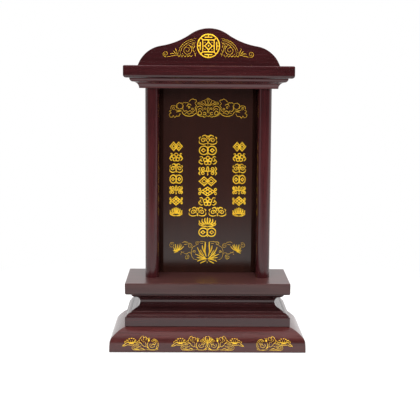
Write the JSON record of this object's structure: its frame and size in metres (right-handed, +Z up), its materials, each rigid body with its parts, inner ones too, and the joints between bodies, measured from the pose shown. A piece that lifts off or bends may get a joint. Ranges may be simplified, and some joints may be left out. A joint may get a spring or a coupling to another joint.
{
  "type": "ancestor tablet",
  "caption": "Free-standing lacquered wooden ancestor tablet: recessed panel between side boards, moulded cornice with curved crest, stepped moulded base and a back cover that slides up.",
  "frame": {"origin": "middle of the footprint, on the surface that the tablet stands on", "axes": "+Z up, the front faces -Y, +X to the right as seen from the front"},
  "size_m": [0.1864, 0.089, 0.3051],
  "materials": {
    "lacquer": "dark red-brown stained wood under semi-gloss lacquer",
    "panel_lacquer": "near-black brown wood under gloss lacquer",
    "bare_wood": "bare planed hardwood",
    "screw_steel": "zinc plated",
    "gilding": "thin raised gilt line work"
  },
  "bodies": {
    "tablet": {"plinth_core": "lacquer", "plinth_front_moulding": "lacquer", "plinth_left_moulding": "lacquer", "plinth_right_moulding": "lacquer", "riser_board": "lacquer", "waist_core": "lacquer", "waist_front_moulding": "lacquer", "waist_left_moulding": "lacquer", "waist_right_moulding": "lacquer", "deck_board": "lacquer", "left_side_board": "lacquer", "right_side_board": "lacquer", "inscription_panel": "panel_lacquer", "inner_name_board": "bare_wood", "header_board": "lacquer", "bed_front_moulding": "lacquer", "bed_left_moulding": "lacquer", "bed_right_moulding": "lacquer", "top_board": "lacquer", "crest_board": "lacquer", "lower_dowels": "bare_wood", "upper_dowels": "bare_wood", "crest_dowels": "bare_wood", "base_screws": "screw_steel"},
    "cover": {"back_cover": "lacquer"}
  },
  "joints": [
    {"name": "cover_slide", "type": "slide", "parent": "tablet", "child": "cover", "axis": [0, 0, 1], "range_m": [0, 0.21]}
  ]
}
